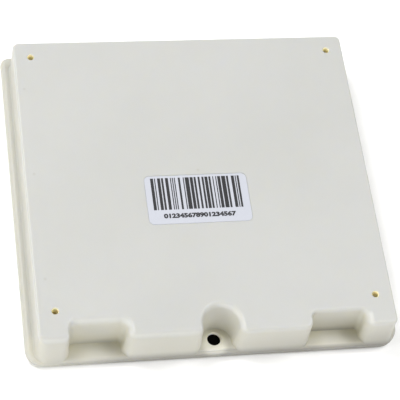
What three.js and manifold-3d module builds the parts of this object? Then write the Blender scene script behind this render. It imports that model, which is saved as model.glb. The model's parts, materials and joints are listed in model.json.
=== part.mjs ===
// Label deactivator pad of a shop's anti-theft gate system, lying on its front cover
// with the service side up. Millimetres, +Z up, the lower edge with the pockets on -Y.

import * as THREE from 'three';
import { mergeVertices } from 'three/addons/utils/BufferGeometryUtils.js';
import Module from 'manifold-3d';

const wasm = await Module();
wasm.setup();

// ---- driving dimensions ----

const gap = 0.3;                // clearance between neighbouring pieces
const wall = 2.4;               // moulded wall thickness
const floorThick = 2.2;         // under the pockets and the scallop
const innerEase = 2;            // inside corners are this much tighter
const arcSteps = 7;             // segments in each rounded plan corner
const thickness = 28;           // front cover to service face

const outline = { halfX: 103, halfY: 99, corner: 8.5 };    // flange and front cover
const edgeRound = 2.6;          // rounding of the flange and of the cover's edge
const coverTop = 2.85;          // height of the parting line
const flangeTop = 6;            // the land around the tray

// the tray stands on the flange, nearer to the edge that has the pockets
const trayFace = { halfX: 97.3, top: 93.1, bottom: -97.2, corner: 4.5 };
const trayFoot = { halfX: 98.3, top: 94.1, bottom: -97.8, corner: 5.2 };
const rimRound = 1.2;

const pocketX = 65.8;           // both pockets are this far from the middle
const pocketFace = { half: 16.2, back: -87.2, corner: 4 };
const pocketFloor = { half: 14.4, back: -88.3, corner: 3 };
const pocketFloorZ = 6;

const scallopX = 0.3;
const scallopFace = { radius: 11.2, centre: -91 };
const scallopFloor = { radius: 8.6, centre: -93.3 };
const scallopFloorZ = 7.2;
const beyondEdge = 12;          // how far the cutting spaces run past the lower edge
const outlet = { x: -0.8, y: -91, radius: 3.7 };           // where the supply lead leaves
const seal = { long: 15, wide: 12, corner: 2, thick: 0.8, y: -89.1 };    // under the outlet

const cornerHole = { halfX: 87.5, top: 83, bottom: -79.4, radius: 1.75, depth: 14 };
const cornerPost = { radius: 4.6, foot: 8, socket: 2.9, socketTop: 12.5 };
const cornerRib = { foot: 10, out: 6, long: 7, thick: 1.6 };
const spigot = { radius: 2.6, top: 12 };
const tongue = { top: 5.6, thick: 1.6, pocketClear: 42, scallopClear: 32, clearDeep: 24 };
const label = { width: 57.8, height: 30.6, x: -2.5, y: -14.8, corner: 3, thick: 0.15, sunk: 0.2 };

const lens = { x: 0, y: 86, radius: 2.35, bore: 2.65, collar: 3.5, low: 0.1, top: 6.5, edge: 0.15 };
const led = { radius: 1.5, tip: 7, shoulder: 7.9, top: 10.3 };
const ledBoard = { y: 84, halfX: 8, halfY: 6, low: 10.6, high: 12.2, holeX: 5.5, hole: 1.1 };
const ledPost = { radius: 2.2, pilot: 1.1, deep: 4.6 };
const ledScrew = { head: 1.9, headHigh: 1.2, shank: 0.8, length: 5 };

const carrier = { x: 0, y: 4, halfX: 80, halfY: 68, width: 22, low: 4.7, high: 6.9, corner: 16 };
const groove = { depth: 1, margin: 1.2 };
const loop = { width: 5, thick: 0.5, split: 5, outerInset: 4, innerInset: 13 };
const foamStrip = { inset: 8, wide: 8, alongX: 100, alongY: 80 };

const board = { x: 0, y: -20, halfX: 68, halfY: 42, low: 16.9, high: 18.5, corner: 3 };
const boardHole = { inX: 6, inY: 6, radius: 1.8 };
const boardPost = { radius: 3.6, pilot: 1.7, deep: 5.4 };
const boardScrew = { head: 3, headHigh: 2, shank: 1.4, length: 5.6 };

// components, placed from the middle of the board
const terminal = { x: 0, y: -35, long: 15.2, wide: 8, high: 8.4, pitch: 5 };
const terminalHole = { radius: 1.7, y: 0.6, deep: 1.8 };
const terminalMouth = { wide: 3.2, deep: 4, low: 2.2, high: 5.4 };
const socket = { wide: 5.8, high: 7, wall: 1, floor: 2 };
const loopSocket = { x: 26, y: -35, long: 12.4 };
const ledSocket = { x: 0, y: 36, long: 8 };
const sink = { x: -30, y: -22.9, long: 16, wide: 10, high: 8.5 };
const sinkSlot = { count: 5, pitch: 3, wide: 1.6, deep: 6.7 };
const regulator = { x: -30, y: -30.4, long: 10, wide: 4.4, high: 7.6, tab: 1, tabLow: 2, tabHigh: 8.4 };
const bulk = { x: -48, y: -16, pitch: 12, radius: 4, high: 9, bead: 0.6 };
const burst = { x: 46, y: 4, long: 18, wide: 8.5, high: 8.8 };
const choke = { x: -14, y: -16, bore: 2.2, radius: 7.6, high: 6.6, bead: 1 };
const trimmer = { x: 50, y: -16, radius: 3.4, high: 4.4, screw: 2, screwHigh: 1, slot: 0.7, slotDeep: 0.5 };
const screen = { x: 24, y: -8, long: 22, wide: 18, high: 4.2, corner: 1, bead: 0.5 };
const crystal = { x: -22, y: 14, radius: 2.4, high: 3.6, bead: 0.4 };
const beeper = { x: -46, y: 22, radius: 6, high: 8.6, bead: 0.8 };
const chipChamfer = 0.4;
const chips = [
  { name: 'controller_chip', x: -6, y: 12, long: 12, wide: 12, high: 1.6 },
  { name: 'receiver_chip', x: 24, y: 18, long: 10, wide: 7.6, high: 1.8 },
  { name: 'driver_chip', x: 46, y: 20, long: 9, wide: 7.6, high: 1.8 },
];

const leadRadius = 0.8;
const leadSteps = 18;
const loopLead = { x: 12, pinX: [23.6, 28], endInset: 2.5 };   // under the loops' right ends

// ---- general shapes ----

const toSolid = (geometry) => {
  const bare = geometry.index ? geometry.clone() : geometry;
  bare.deleteAttribute('normal');
  bare.deleteAttribute('uv');
  const merged = mergeVertices(bare, 1e-4);
  return new wasm.Manifold(new wasm.Mesh({
    numProp: 3,
    vertProperties: new Float32Array(merged.attributes.position.array),
    triVerts: new Uint32Array(merged.index.array),
  }));
};

const toGeometry = (solid) => {
  const mesh = solid.getMesh();
  const geometry = new THREE.BufferGeometry();
  geometry.setAttribute('position', new THREE.BufferAttribute(mesh.vertProperties, 3));
  geometry.setIndex(new THREE.BufferAttribute(mesh.triVerts, 1));
  geometry.computeVertexNormals();
  return geometry;
};

const cut = (geometry, ...tools) => {
  let solid = toSolid(geometry);
  for (const tool of tools) solid = solid.subtract(toSolid(tool));
  return toGeometry(solid);
};

const join = (geometry, ...others) => {
  let solid = toSolid(geometry);
  for (const other of others) solid = solid.add(toSolid(other));
  return toGeometry(solid);
};

// a rectangle with rounded corners, from its four sides
const roundedRect = (left, right, bottom, top, radius) => {
  const shape = new THREE.Shape();
  shape.moveTo(right, bottom + radius);
  shape.absarc(right - radius, top - radius, radius, 0, Math.PI / 2);
  shape.absarc(left + radius, top - radius, radius, Math.PI / 2, Math.PI);
  shape.absarc(left + radius, bottom + radius, radius, Math.PI, Math.PI * 1.5);
  shape.absarc(right - radius, bottom + radius, radius, Math.PI * 1.5, Math.PI * 2);
  return shape;
};

// a closed body through outlines of equal point count, listed from the lowest up
const loft = (levels, steps = arcSteps) => {
  const rings = levels.map(({ shape }) => {
    const ring = shape.getPoints(steps);
    const closes = ring[0].distanceTo(ring[ring.length - 1]) < 1e-6;
    return closes ? ring.slice(0, -1) : ring;
  });
  const count = rings[0].length;
  const positions = [];
  rings.forEach((ring, i) => ring.forEach((p) => positions.push(p.x, p.y, levels[i].z)));
  const index = [];
  for (let i = 0; i < rings.length - 1; i += 1) {
    for (let j = 0; j < count; j += 1) {
      const a = i * count + j;
      const b = i * count + (j + 1) % count;
      index.push(a, b, b + count, a, b + count, a + count);
    }
  }
  const last = (rings.length - 1) * count;
  for (const [a, b, c] of THREE.ShapeUtils.triangulateShape(rings[0], [])) index.push(a, c, b);
  for (const [a, b, c] of THREE.ShapeUtils.triangulateShape(rings[rings.length - 1], [])) {
    index.push(last + a, last + b, last + c);
  }
  const geometry = new THREE.BufferGeometry();
  geometry.setAttribute('position', new THREE.Float32BufferAttribute(positions, 3));
  geometry.setIndex(index);
  return geometry;
};

const prism = (shape, low, high, steps = arcSteps) => new THREE.ExtrudeGeometry(shape, {
  depth: high - low, bevelEnabled: false, curveSegments: steps,
}).translate(0, 0, low);

const centredRect = (long, wide, radius, inset = 0) => roundedRect(
  -long / 2 + inset, long / 2 - inset, -wide / 2 + inset, wide / 2 - inset, radius);

const box = (x, y, low, sizeX, sizeY, high) => (
  new THREE.BoxGeometry(sizeX, sizeY, high - low).translate(x, y, (low + high) / 2));

const rod = (x, y, low, high, radius, sides = 24) => (
  new THREE.CylinderGeometry(radius, radius, high - low, sides)
    .rotateX(Math.PI / 2)
    .translate(x, y, (low + high) / 2));

// a turned body on a vertical axis; the profile starts and ends on the axis
const turned = (profile, sides = 24) => (
  new THREE.LatheGeometry(profile.map(([r, z]) => new THREE.Vector2(r, z)), sides)
    .rotateX(Math.PI / 2));

const part = new THREE.Group();

const add = (name, geometry, finish, x = 0, y = 0, z = 0) => {
  const mesh = new THREE.Mesh(geometry, new THREE.MeshStandardMaterial(finish));
  mesh.name = name;
  mesh.position.set(x, y, z);
  part.add(mesh);
};

// ---- finishes ----

const ivory = { color: 0xdedbd0, roughness: 0.42, metalness: 0 };
const paper = { color: 0xe8ebf2, roughness: 0.5, metalness: 0 };
const laminate = { color: 0x1f6a3c, roughness: 0.5, metalness: 0 };
const copper = { color: 0xb8703a, roughness: 0.35, metalness: 1 };
const steel = { color: 0xb9bcc0, roughness: 0.35, metalness: 1 };
const alloy = { color: 0xa4a8ad, roughness: 0.4, metalness: 1 };
const blackPlastic = { color: 0x1b1c1e, roughness: 0.5, metalness: 0 };
const greyPlastic = { color: 0x8e9296, roughness: 0.6, metalness: 0 };
const greenPlastic = { color: 0x2f8a4a, roughness: 0.45, metalness: 0 };
const whiteNylon = { color: 0xe9e6da, roughness: 0.5, metalness: 0 };
const foam = { color: 0x34363a, roughness: 0.95, metalness: 0 };
const rubber = { color: 0x0c0c0d, roughness: 0.9, metalness: 0 };
const clear = { color: 0xd8efe0, roughness: 0.15, metalness: 0 };

// ---- casing ----

const sides = [-1, 1];
const corners = sides.flatMap((side) => [
  { x: side * cornerHole.halfX, y: cornerHole.top },
  { x: side * cornerHole.halfX, y: cornerHole.bottom },
]);
const boardCorners = sides.flatMap((sideX) => sides.map((sideY) => ({
  x: board.x + sideX * (board.halfX - boardHole.inX),
  y: board.y + sideY * (board.halfY - boardHole.inY),
})));
const ledCorners = sides.map((side) => ({ x: lens.x + side * ledBoard.holeX, y: ledBoard.y }));

const traySection = (size, inset, tighter) => roundedRect(
  -size.halfX + inset, size.halfX - inset, size.bottom + inset, size.top - inset,
  size.corner - tighter);

const outlineSection = (inset) => roundedRect(
  -outline.halfX + inset, outline.halfX - inset,
  -outline.halfY + inset, outline.halfY - inset, outline.corner - inset);

// a rounded edge as levels, from the widest outline to the flat
const quarterRound = (from, to, radius, section, steps) => (
  Array.from({ length: steps + 1 }, (_, i) => {
    const angle = (i / steps) * Math.PI / 2;
    return {
      z: from + (to - from) * Math.sin(angle),
      shape: section(radius * (1 - Math.cos(angle))),
    };
  }));

const housingLow = coverTop + gap;

const flangeBody = () => loft([
  { z: housingLow, shape: outlineSection(0) },
  ...quarterRound(flangeTop - edgeRound, flangeTop, edgeRound, outlineSection, 4),
]);

const trayBody = () => loft([
  { z: housingLow + 1, shape: traySection(trayFoot, 0, 0) },
  ...quarterRound(thickness - rimRound, thickness, rimRound,
    (inset) => traySection(trayFace, inset, inset), 3),
]);

// the space of a pocket, open towards -Y, or with a margin the shell around it
const pocketSpace = (side, margin, low, high) => {
  const section = (size) => roundedRect(
    side * pocketX - size.half - margin, side * pocketX + size.half + margin,
    -outline.halfY - beyondEdge, size.back + margin, size.corner + margin);
  return loft([
    { z: low, shape: section(pocketFloor) },
    { z: high, shape: section(pocketFace) },
  ]);
};

// the scallop's space: half a circle that runs straight out to the edge
const scallopSpace = (margin, low, high) => {
  const section = ({ radius, centre }) => {
    const shape = new THREE.Shape();
    const wide = radius + margin;
    shape.moveTo(scallopX - wide, -outline.halfY - beyondEdge);
    shape.lineTo(scallopX + wide, -outline.halfY - beyondEdge);
    shape.absarc(scallopX, centre, wide, 0, Math.PI / 2);
    shape.absarc(scallopX, centre, wide, Math.PI / 2, Math.PI);
    return shape;
  };
  return loft([
    { z: low, shape: section(scallopFloor) },
    { z: high, shape: section(scallopFace) },
  ]);
};

// the room inside the housing: the tray's inside without the shells, posts and ribs
const housingRoom = () => {
  let room = toSolid(loft([
    { z: coverTop - 1, shape: traySection(trayFoot, wall, innerEase) },
    { z: thickness - wall, shape: traySection(trayFace, wall, innerEase) },
  ]));
  const keep = (geometry) => {
    room = room.subtract(toSolid(geometry));
  };
  for (const side of sides) {
    keep(pocketSpace(side, wall, pocketFloorZ - floorThick, thickness));
  }
  keep(scallopSpace(wall, scallopFloorZ - floorThick, thickness));
  for (const { x, y } of corners) {
    const ribX = x + Math.sign(x) * cornerRib.out;
    keep(rod(x, y, cornerPost.foot, thickness, cornerPost.radius));
    keep(box(ribX, y, cornerRib.foot, cornerRib.long, cornerRib.thick, thickness));
  }
  for (const { x, y } of boardCorners) {
    keep(rod(x, y, board.high + gap, thickness, boardPost.radius));
  }
  for (const { x, y } of ledCorners) {
    keep(rod(x, y, ledBoard.high + gap, thickness, ledPost.radius, 16));
  }
  return toGeometry(room);
};

// a shallow field that keeps the label below the service face
const labelField = () => prism(
  centredRect(label.width + 2 * gap, label.height + 2 * gap, label.corner + gap),
  thickness - label.sunk, thickness + 1).translate(label.x, label.y, 0);

const bottomHousing = () => {
  const body = join(flangeBody(), trayBody());
  const tools = [housingRoom(), labelField()];
  for (const side of sides) {
    tools.push(pocketSpace(side, 0, pocketFloorZ, thickness + 2));
  }
  tools.push(scallopSpace(0, scallopFloorZ, thickness + 2));
  tools.push(rod(outlet.x, outlet.y, coverTop, scallopFloorZ + 1, outlet.radius, 32));
  for (const { x, y } of corners) {
    tools.push(rod(x, y, thickness - cornerHole.depth, thickness + 1, cornerHole.radius));
    tools.push(rod(x, y, cornerPost.foot - 1, cornerPost.socketTop, cornerPost.socket));
  }
  for (const { x, y } of boardCorners) {
    tools.push(rod(x, y, board.high, board.high + boardPost.deep, boardPost.pilot, 16));
  }
  for (const { x, y } of ledCorners) {
    tools.push(rod(x, y, ledBoard.high, ledBoard.high + ledPost.deep, ledPost.pilot, 12));
  }
  return cut(body, ...tools);
};

// a rib that centres the cover inside the housing's rim, clear of the pockets
const coverTongue = () => {
  const outer = wall + gap;
  const inner = outer + tongue.thick;
  const clearance = (x, long) => (
    box(x, trayFoot.bottom, coverTop, long, tongue.clearDeep, tongue.top + 1));
  return cut(
    prism(traySection(trayFoot, outer, innerEase), coverTop - 0.5, tongue.top),
    prism(traySection(trayFoot, inner, innerEase + 1), coverTop - 1, tongue.top + 1),
    ...sides.map((side) => clearance(side * pocketX, tongue.pocketClear)),
    clearance(scallopX, tongue.scallopClear));
};

const frontCover = () => {
  const plate = loft([
    ...quarterRound(edgeRound, 0, edgeRound, outlineSection, 4).reverse(),
    { z: coverTop, shape: outlineSection(0) },
  ]);
  const spigots = corners.map(({ x, y }) => rod(x, y, coverTop - 0.5, spigot.top, spigot.radius));
  const collar = rod(lens.x, lens.y, coverTop - 0.5, lens.top - 1, lens.collar);
  return cut(
    join(plate, coverTongue(), ...spigots, collar),
    rod(lens.x, lens.y, -1, lens.top, lens.bore));
};

const indicatorLens = () => turned([
  [0, lens.low], [lens.radius - lens.edge, lens.low], [lens.radius, lens.low + lens.edge],
  [lens.radius, lens.top], [0, lens.top],
]);

// a rubber sheet under the outlet, which the lead pierces
const outletSeal = () => (
  prism(centredRect(seal.long, seal.wide, seal.corner), housingLow, housingLow + seal.thick, 3));

const barcodeLabel = () => (
  prism(centredRect(label.width, label.height, label.corner), 0, label.thick));

add('bottom_housing', bottomHousing(), ivory);
add('front_cover', frontCover(), ivory);
add('indicator_lens', indicatorLens(), clear, lens.x, lens.y);
add('outlet_seal', outletSeal(), rubber, outlet.x, seal.y);
add('barcode_label', barcodeLabel(), paper, label.x, label.y, thickness - label.sunk);

// ---- antenna ----

const ringSection = (inset) => centredRect(
  carrier.halfX * 2, carrier.halfY * 2, carrier.corner - inset * 0.6, inset);

const ring = (outer, inner, low, high) => cut(
  prism(ringSection(outer), low, high), prism(ringSection(inner), low - 1, high + 1));

const grooveLow = carrier.high - groove.depth;

const loopCarrier = () => {
  const grooves = [loop.outerInset, loop.innerInset].map((inset) => ring(
    inset - groove.margin, inset + loop.width + groove.margin, grooveLow, carrier.high + 1));
  return cut(ring(0, carrier.width, carrier.low, carrier.high), ...grooves);
};

// a flat copper strip in its groove, split where its leads are soldered on
const copperLoop = (inset) => {
  const low = grooveLow + gap;
  return cut(
    ring(inset, inset + loop.width, low, low + loop.thick),
    box(0, inset - carrier.halfY, low - 1, loop.split, loop.width * 3, low + 2));
};

add('loop_carrier', loopCarrier(), whiteNylon, carrier.x, carrier.y);
add('transmit_loop', copperLoop(loop.outerInset), copper, carrier.x, carrier.y);
add('receive_loop', copperLoop(loop.innerInset), copper, carrier.x, carrier.y);

// foam strips press the carrier's four sides away from the front cover
const foamX = carrier.halfX - foamStrip.inset;
const foamY = carrier.halfY - foamStrip.inset;
const foamStrips = [
  { x: 0, y: foamY, long: foamStrip.alongX, wide: foamStrip.wide },
  { x: 0, y: -foamY, long: foamStrip.alongX, wide: foamStrip.wide },
  { x: -foamX, y: 0, long: foamStrip.wide, wide: foamStrip.alongY },
  { x: foamX, y: 0, long: foamStrip.wide, wide: foamStrip.alongY },
];
foamStrips.forEach(({ x, y, long, wide }, i) => {
  const strip = box(0, 0, coverTop + gap, long, wide, carrier.low - gap);
  add(`foam_strip_${i + 1}`, strip, foam, carrier.x + x, carrier.y + y);
});

// ---- boards and their screws ----

// a pan-head screw that points up, its head's bearing face at 0
const panScrew = ({ head, headHigh, shank, length }) => turned([
  [0, -headHigh], [head * 0.7, -headHigh], [head, -headHigh * 0.45], [head, 0],
  [shank, 0], [shank, length - shank], [0, length],
], 12);

const circuitBoard = () => {
  const blank = prism(
    centredRect(board.halfX * 2, board.halfY * 2, board.corner), board.low, board.high, 3);
  return cut(blank.translate(board.x, board.y, 0), ...boardCorners.map(({ x, y }) => (
    rod(x, y, board.low - 1, board.high + 1, boardHole.radius, 16))));
};

// the indicator stands on its own small board over the lens
const indicatorBoard = () => cut(
  box(lens.x, ledBoard.y, ledBoard.low, ledBoard.halfX * 2, ledBoard.halfY * 2, ledBoard.high),
  ...ledCorners.map(({ x, y }) => (
    rod(x, y, ledBoard.low - 1, ledBoard.high + 1, ledBoard.hole, 12))));

const indicatorLed = () => turned([
  [0, led.tip], [led.radius * 0.7, led.tip + 0.2], [led.radius, led.shoulder],
  [led.radius, led.top], [0, led.top],
], 16);

add('circuit_board', circuitBoard(), laminate);
boardCorners.forEach(({ x, y }, i) => {
  add(`board_screw_${i + 1}`, panScrew(boardScrew), steel, x, y, board.low - gap);
});
add('indicator_board', indicatorBoard(), laminate);
ledCorners.forEach(({ x, y }, i) => {
  add(`indicator_screw_${i + 1}`, panScrew(ledScrew), steel, x, y, ledBoard.low - gap);
});
add('indicator_led', indicatorLed(), greenPlastic, lens.x, lens.y);

// ---- components, hanging from the board's lower side ----

const underBoard = board.low - gap;

const place = (name, geometry, finish, { x, y }) => {
  add(name, geometry, finish, board.x + x, board.y + y, underBoard);
};

// an upright can with a rounded rim: capacitor, beeper or crystal
const can = ({ radius, high, bead }, facets = 20) => turned([
  [0, -high], [radius - bead, -high], [radius, -high + bead], [radius, 0], [0, 0],
], facets);

const chipBody = ({ long, wide, high }) => loft([
  { z: -high, shape: centredRect(long, wide, 0.2, chipChamfer) },
  { z: -high / 2, shape: centredRect(long, wide, 0.2) },
  { z: 0, shape: centredRect(long, wide, 0.2, chipChamfer) },
], 1);

// three screw ways, each with its wire mouth in the long side
const terminalBlock = () => {
  const ways = [-terminal.pitch, 0, terminal.pitch];
  const { high, wide } = terminal;
  return cut(
    box(0, 0, -high, terminal.long, wide, 0),
    ...ways.map((x) => (
      rod(x, terminalHole.y, -high - 1, terminalHole.deep - high, terminalHole.radius, 12))),
    ...ways.map((x) => box(
      x, -wide / 2, -terminalMouth.high, terminalMouth.wide, terminalMouth.deep,
      -terminalMouth.low)));
};

const socketBody = ({ long }) => cut(
  box(0, 0, -socket.high, long, socket.wide, 0),
  box(0, 0, -socket.high - 1, long - 2 * socket.wall, socket.wide - 2 * socket.wall,
    -socket.floor));

// a finned aluminium extrusion behind the regulator
const heatSink = () => {
  const slots = Array.from({ length: sinkSlot.count }, (_, i) => {
    const x = (i - (sinkSlot.count - 1) / 2) * sinkSlot.pitch;
    const y = (sink.wide - sinkSlot.deep) / 2;
    return box(x, y + 0.5, -sink.high - 1, sinkSlot.wide, sinkSlot.deep + 1, 1);
  });
  return cut(box(0, 0, -sink.high, sink.long, sink.wide, 0), ...slots);
};

const regulatorBody = () => {
  const { long, wide, high, tab, tabLow, tabHigh } = regulator;
  return join(
    box(0, 0, -high, long, wide, 0), box(0, (wide - tab) / 2, -tabHigh, long, tab, -tabLow));
};

const chokeBody = () => {
  const { bore, radius, high, bead } = choke;
  return turned([
    [bore, -high], [radius - bead, -high], [radius, bead - high],
    [radius, -bead], [radius - bead, 0], [bore, 0], [bore, -high],
  ], 20);
};

const trimmerBody = () => {
  const { radius, high, screw, screwHigh, slot, slotDeep } = trimmer;
  const top = -high - screwHigh;
  return cut(
    join(rod(0, 0, -high, 0, radius, 20), rod(0, 0, top, -high + 0.2, screw, 16)),
    box(0, 0, top - 1, slot, screw * 3, top + slotDeep));
};

const screenCan = () => {
  const { long, wide, high, corner, bead } = screen;
  return loft([
    { z: -high, shape: centredRect(long, wide, corner - bead / 2, bead) },
    { z: -high + bead, shape: centredRect(long, wide, corner) },
    { z: 0, shape: centredRect(long, wide, corner) },
  ], 3);
};

place('supply_terminal', terminalBlock(), greenPlastic, terminal);
place('loop_socket', socketBody(loopSocket), whiteNylon, loopSocket);
place('indicator_socket', socketBody(ledSocket), whiteNylon, ledSocket);
place('power_regulator', regulatorBody(), blackPlastic, regulator);
place('heat_sink', heatSink(), alloy, sink);
for (const i of [0, 1]) {
  const at = { x: bulk.x, y: bulk.y + i * bulk.pitch };
  place(`bulk_capacitor_${i + 1}`, can(bulk), blackPlastic, at);
}
place('burst_capacitor', box(0, 0, -burst.high, burst.long, burst.wide, 0), greyPlastic, burst);
place('supply_choke', chokeBody(), copper, choke);
place('tuning_trimmer', trimmerBody(), whiteNylon, trimmer);
place('receiver_screen', screenCan(), steel, screen);
place('clock_crystal', can(crystal, 16), steel, crystal);
place('beeper', can(beeper), blackPlastic, beeper);
for (const chip of chips) place(chip.name, chipBody(chip), blackPlastic, chip);

// ---- leads inside the casing ----

const lead = (points) => {
  const route = new THREE.CatmullRomCurve3(points.map((p) => new THREE.Vector3(...p)));
  const section = new THREE.Shape().absarc(0, 0, leadRadius, 0, Math.PI * 2);
  return new THREE.ExtrudeGeometry(section, {
    extrudePath: route, steps: leadSteps, curveSegments: 4, bevelEnabled: false,
  });
};

// each lead runs low over the carrier, then turns up into its socket
const overCarrier = carrier.high + gap + leadRadius;
const intoSocket = (x, y) => [
  [x, y, overCarrier + 1.4], [x, y, overCarrier + 3], [x, y, overCarrier + 5],
];

['transmit_lead', 'receive_lead'].forEach((name, i) => {
  const inset = [loop.outerInset, loop.innerInset][i];
  const startY = carrier.y - carrier.halfY + inset + loopLead.endInset;
  const pinX = loopLead.pinX[i];
  const pinY = board.y + loopSocket.y;
  add(name, lead([
    [loopLead.x, startY, overCarrier],
    [(loopLead.x + pinX) / 2, (startY + pinY) / 2, overCarrier + 0.1],
    [pinX - 1.6, pinY, overCarrier + 0.3],
    ...intoSocket(pinX, pinY),
  ]), blackPlastic);
});

const ledPinY = board.y + ledSocket.y;
const underLedBoard = ledBoard.low - gap - leadRadius;
add('indicator_lead', lead([
  [lens.x, ledBoard.y - 4, underLedBoard],
  [lens.x + 1, ledBoard.y - 10, underLedBoard - 0.4],
  [lens.x + 3, (ledBoard.y + ledPinY) / 2, overCarrier + 0.2],
  [lens.x + 1, ledPinY + 6, overCarrier + 0.2],
  [lens.x, ledPinY + 1.2, overCarrier + 0.5],
  ...intoSocket(lens.x, ledPinY),
]), blackPlastic);

export default part;
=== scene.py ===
import json
import math
import random

import bmesh
import bpy
from mathutils import Matrix, Vector


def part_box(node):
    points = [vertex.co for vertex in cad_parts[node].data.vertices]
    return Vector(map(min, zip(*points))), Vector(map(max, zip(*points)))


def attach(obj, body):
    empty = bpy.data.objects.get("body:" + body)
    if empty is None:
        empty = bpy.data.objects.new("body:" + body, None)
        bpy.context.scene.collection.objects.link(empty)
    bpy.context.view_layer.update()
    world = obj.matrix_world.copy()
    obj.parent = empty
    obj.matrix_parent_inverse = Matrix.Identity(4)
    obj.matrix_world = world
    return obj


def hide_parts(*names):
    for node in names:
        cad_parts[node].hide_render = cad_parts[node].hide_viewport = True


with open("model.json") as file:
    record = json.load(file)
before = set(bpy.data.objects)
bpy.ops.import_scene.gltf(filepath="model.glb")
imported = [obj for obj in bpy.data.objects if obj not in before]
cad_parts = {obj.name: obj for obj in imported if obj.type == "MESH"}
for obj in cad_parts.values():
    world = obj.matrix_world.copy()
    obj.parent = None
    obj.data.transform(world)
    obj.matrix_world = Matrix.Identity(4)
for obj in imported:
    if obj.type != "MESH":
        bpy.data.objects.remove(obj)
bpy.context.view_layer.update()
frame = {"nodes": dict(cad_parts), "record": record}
mm = 0.001

# Lengths in the dictionaries below are millimetres, and each piece is scaled to metres as it is finished.


def boxOf(node):
    low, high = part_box(node)
    return low / mm, high / mm


# camera

cameraSetup = dict(lens=148.5, distance=913.5, lookAt=(-1.64, -15.86, 28.0),
                   azimuth=-21.15, elevation=58.42, roll=15.88, clipStart=0.05, clipEnd=30)


def makeCamera():
    data = bpy.data.cameras.new("studioCamera")
    data.lens = cameraSetup["lens"]
    data.clip_start = cameraSetup["clipStart"]  # metres
    data.clip_end = cameraSetup["clipEnd"]
    camera = bpy.data.objects.new("studioCamera", data)
    bpy.context.scene.collection.objects.link(camera)
    turn = math.radians(cameraSetup["azimuth"])
    rise = math.radians(cameraSetup["elevation"])
    back = Vector((math.sin(turn) * math.cos(rise), -math.cos(turn) * math.cos(rise), math.sin(rise)))
    camera.location = (Vector(cameraSetup["lookAt"]) + back * cameraSetup["distance"]) * mm
    camera.rotation_mode = "QUATERNION"
    level = (-back).to_track_quat("-Z", "Y").to_matrix()
    roll = Matrix.Rotation(math.radians(cameraSetup["roll"]), 3, "Z")
    camera.rotation_quaternion = (level @ roll).to_quaternion()
    bpy.context.scene.camera = camera


makeCamera()
print("camera done")


# mesh helpers

meshSetup = dict(weld=0.002, finestCorner=0.5, shadeWeight=90, softAngle=32)


def newPiece(name, bm):
    mesh = bpy.data.meshes.new(name)
    bm.to_mesh(mesh)
    bm.free()
    piece = bpy.data.objects.new(name, mesh)
    bpy.context.scene.collection.objects.link(piece)
    return piece


def wallNormals(corners):
    # outward normal of the wall that leaves each corner, for an outline that runs anticlockwise
    normals = []
    for here, there in zip(corners, corners[1:] + corners[:1]):
        along = Vector((there["x"] - here["x"], there["y"] - here["y"])).normalized()
        normals.append(Vector((along.y, -along.x)))
    return normals


def shrunk(corners, amount):
    # the same outline with each wall moved inwards
    normals = wallNormals(corners)
    result = []
    for i, corner in enumerate(corners):
        before, after = normals[i - 1], normals[i]
        convex = before.x * after.y - before.y * after.x > 0
        shift = (before + after) * amount
        radius = corner["radius"] + amount
        if convex:
            radius = max(corner["radius"] - amount, meshSetup["finestCorner"])
        result.append(dict(corner, x=corner["x"] - shift.x, y=corner["y"] - shift.y, radius=radius))
    return result


def roundedFace(bm, corners, segments):
    verts = [bm.verts.new((corner["x"], corner["y"], 0)) for corner in corners]
    bm.faces.new(verts)
    for vert, corner in zip(verts, corners):
        bmesh.ops.bevel(bm, geom=[vert], offset=corner["radius"], offset_type="OFFSET", segments=segments,
                        profile=0.5, affect="VERTICES", material=-1, clamp_overlap=False)
    bmesh.ops.remove_doubles(bm, verts=bm.verts, dist=meshSetup["weld"])
    bm.faces.ensure_lookup_table()
    return bm.faces[0]


def spanTo(point, start, end):
    # distance from a point to a wall
    along = end - start
    share = max(0.0, min(1.0, (point - start).dot(along) / along.length_squared))
    return (point - start - along * share).length


def nearestWall(point, walls):
    return min(walls, key=lambda wall: spanTo(point, wall[0], wall[1]))[2]


def markWalls(bm, face, corners):
    # each point keeps its place in plan, and the draft, rim and foot of the two walls that it belongs to
    layers = [bm.verts.layers.float_vector.new(name) for name in ("place", "draft", "rim", "foot")]
    place, draft, rim, foot = layers
    sideWalls, endWalls = [], []
    for corner, there, normal in zip(corners, corners[1:] + corners[:1], wallNormals(corners)):
        start, end = Vector((corner["x"], corner["y"])), Vector((there["x"], there["y"]))
        walls = sideWalls if abs(normal.x) > abs(normal.y) else endWalls
        walls.append((start, end, corner))
    arcs = [corner for corner in corners if "arc" in corner]
    for loop in face.loops:
        here, ahead, behind = loop.vert.co, loop.link_loop_next.vert.co, loop.link_loop_prev.vert.co
        facing = Vector((0, 0))
        for along in ((here - behind).normalized(), (ahead - here).normalized()):
            facing += Vector((along.y, -along.x))
        facing.normalize()
        flat = Vector((here.x, here.y))
        sideways = nearestWall(flat, sideWalls)
        lengthways = nearestWall(flat, endWalls)
        shift = 0
        for arc in arcs:
            x, y, radius = arc["arc"]
            if flat.y > y - 0.01 and abs((flat - Vector((x, y))).length - radius) < 0.05:
                lengthways, shift = arc, arc["shift"]
        loop.vert[place] = (here.x, here.y, 0)
        loop.vert[draft] = (facing.x * sideways["draft"], facing.y * lengthways["draft"] - shift, 0)
        across = sideways["rim"] * facing.x ** 2 + lengthways["rim"] * facing.y ** 2
        loop.vert[rim] = (facing.x * sideways["rim"], facing.y * lengthways["rim"], across)
        low = sideways.get("footLow", 0) * facing.x ** 2 + lengthways.get("footLow", 0) * facing.y ** 2
        loop.vert[foot] = (facing.x * sideways.get("foot", 0), facing.y * lengthways.get("foot", 0), low)
    return layers


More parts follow.
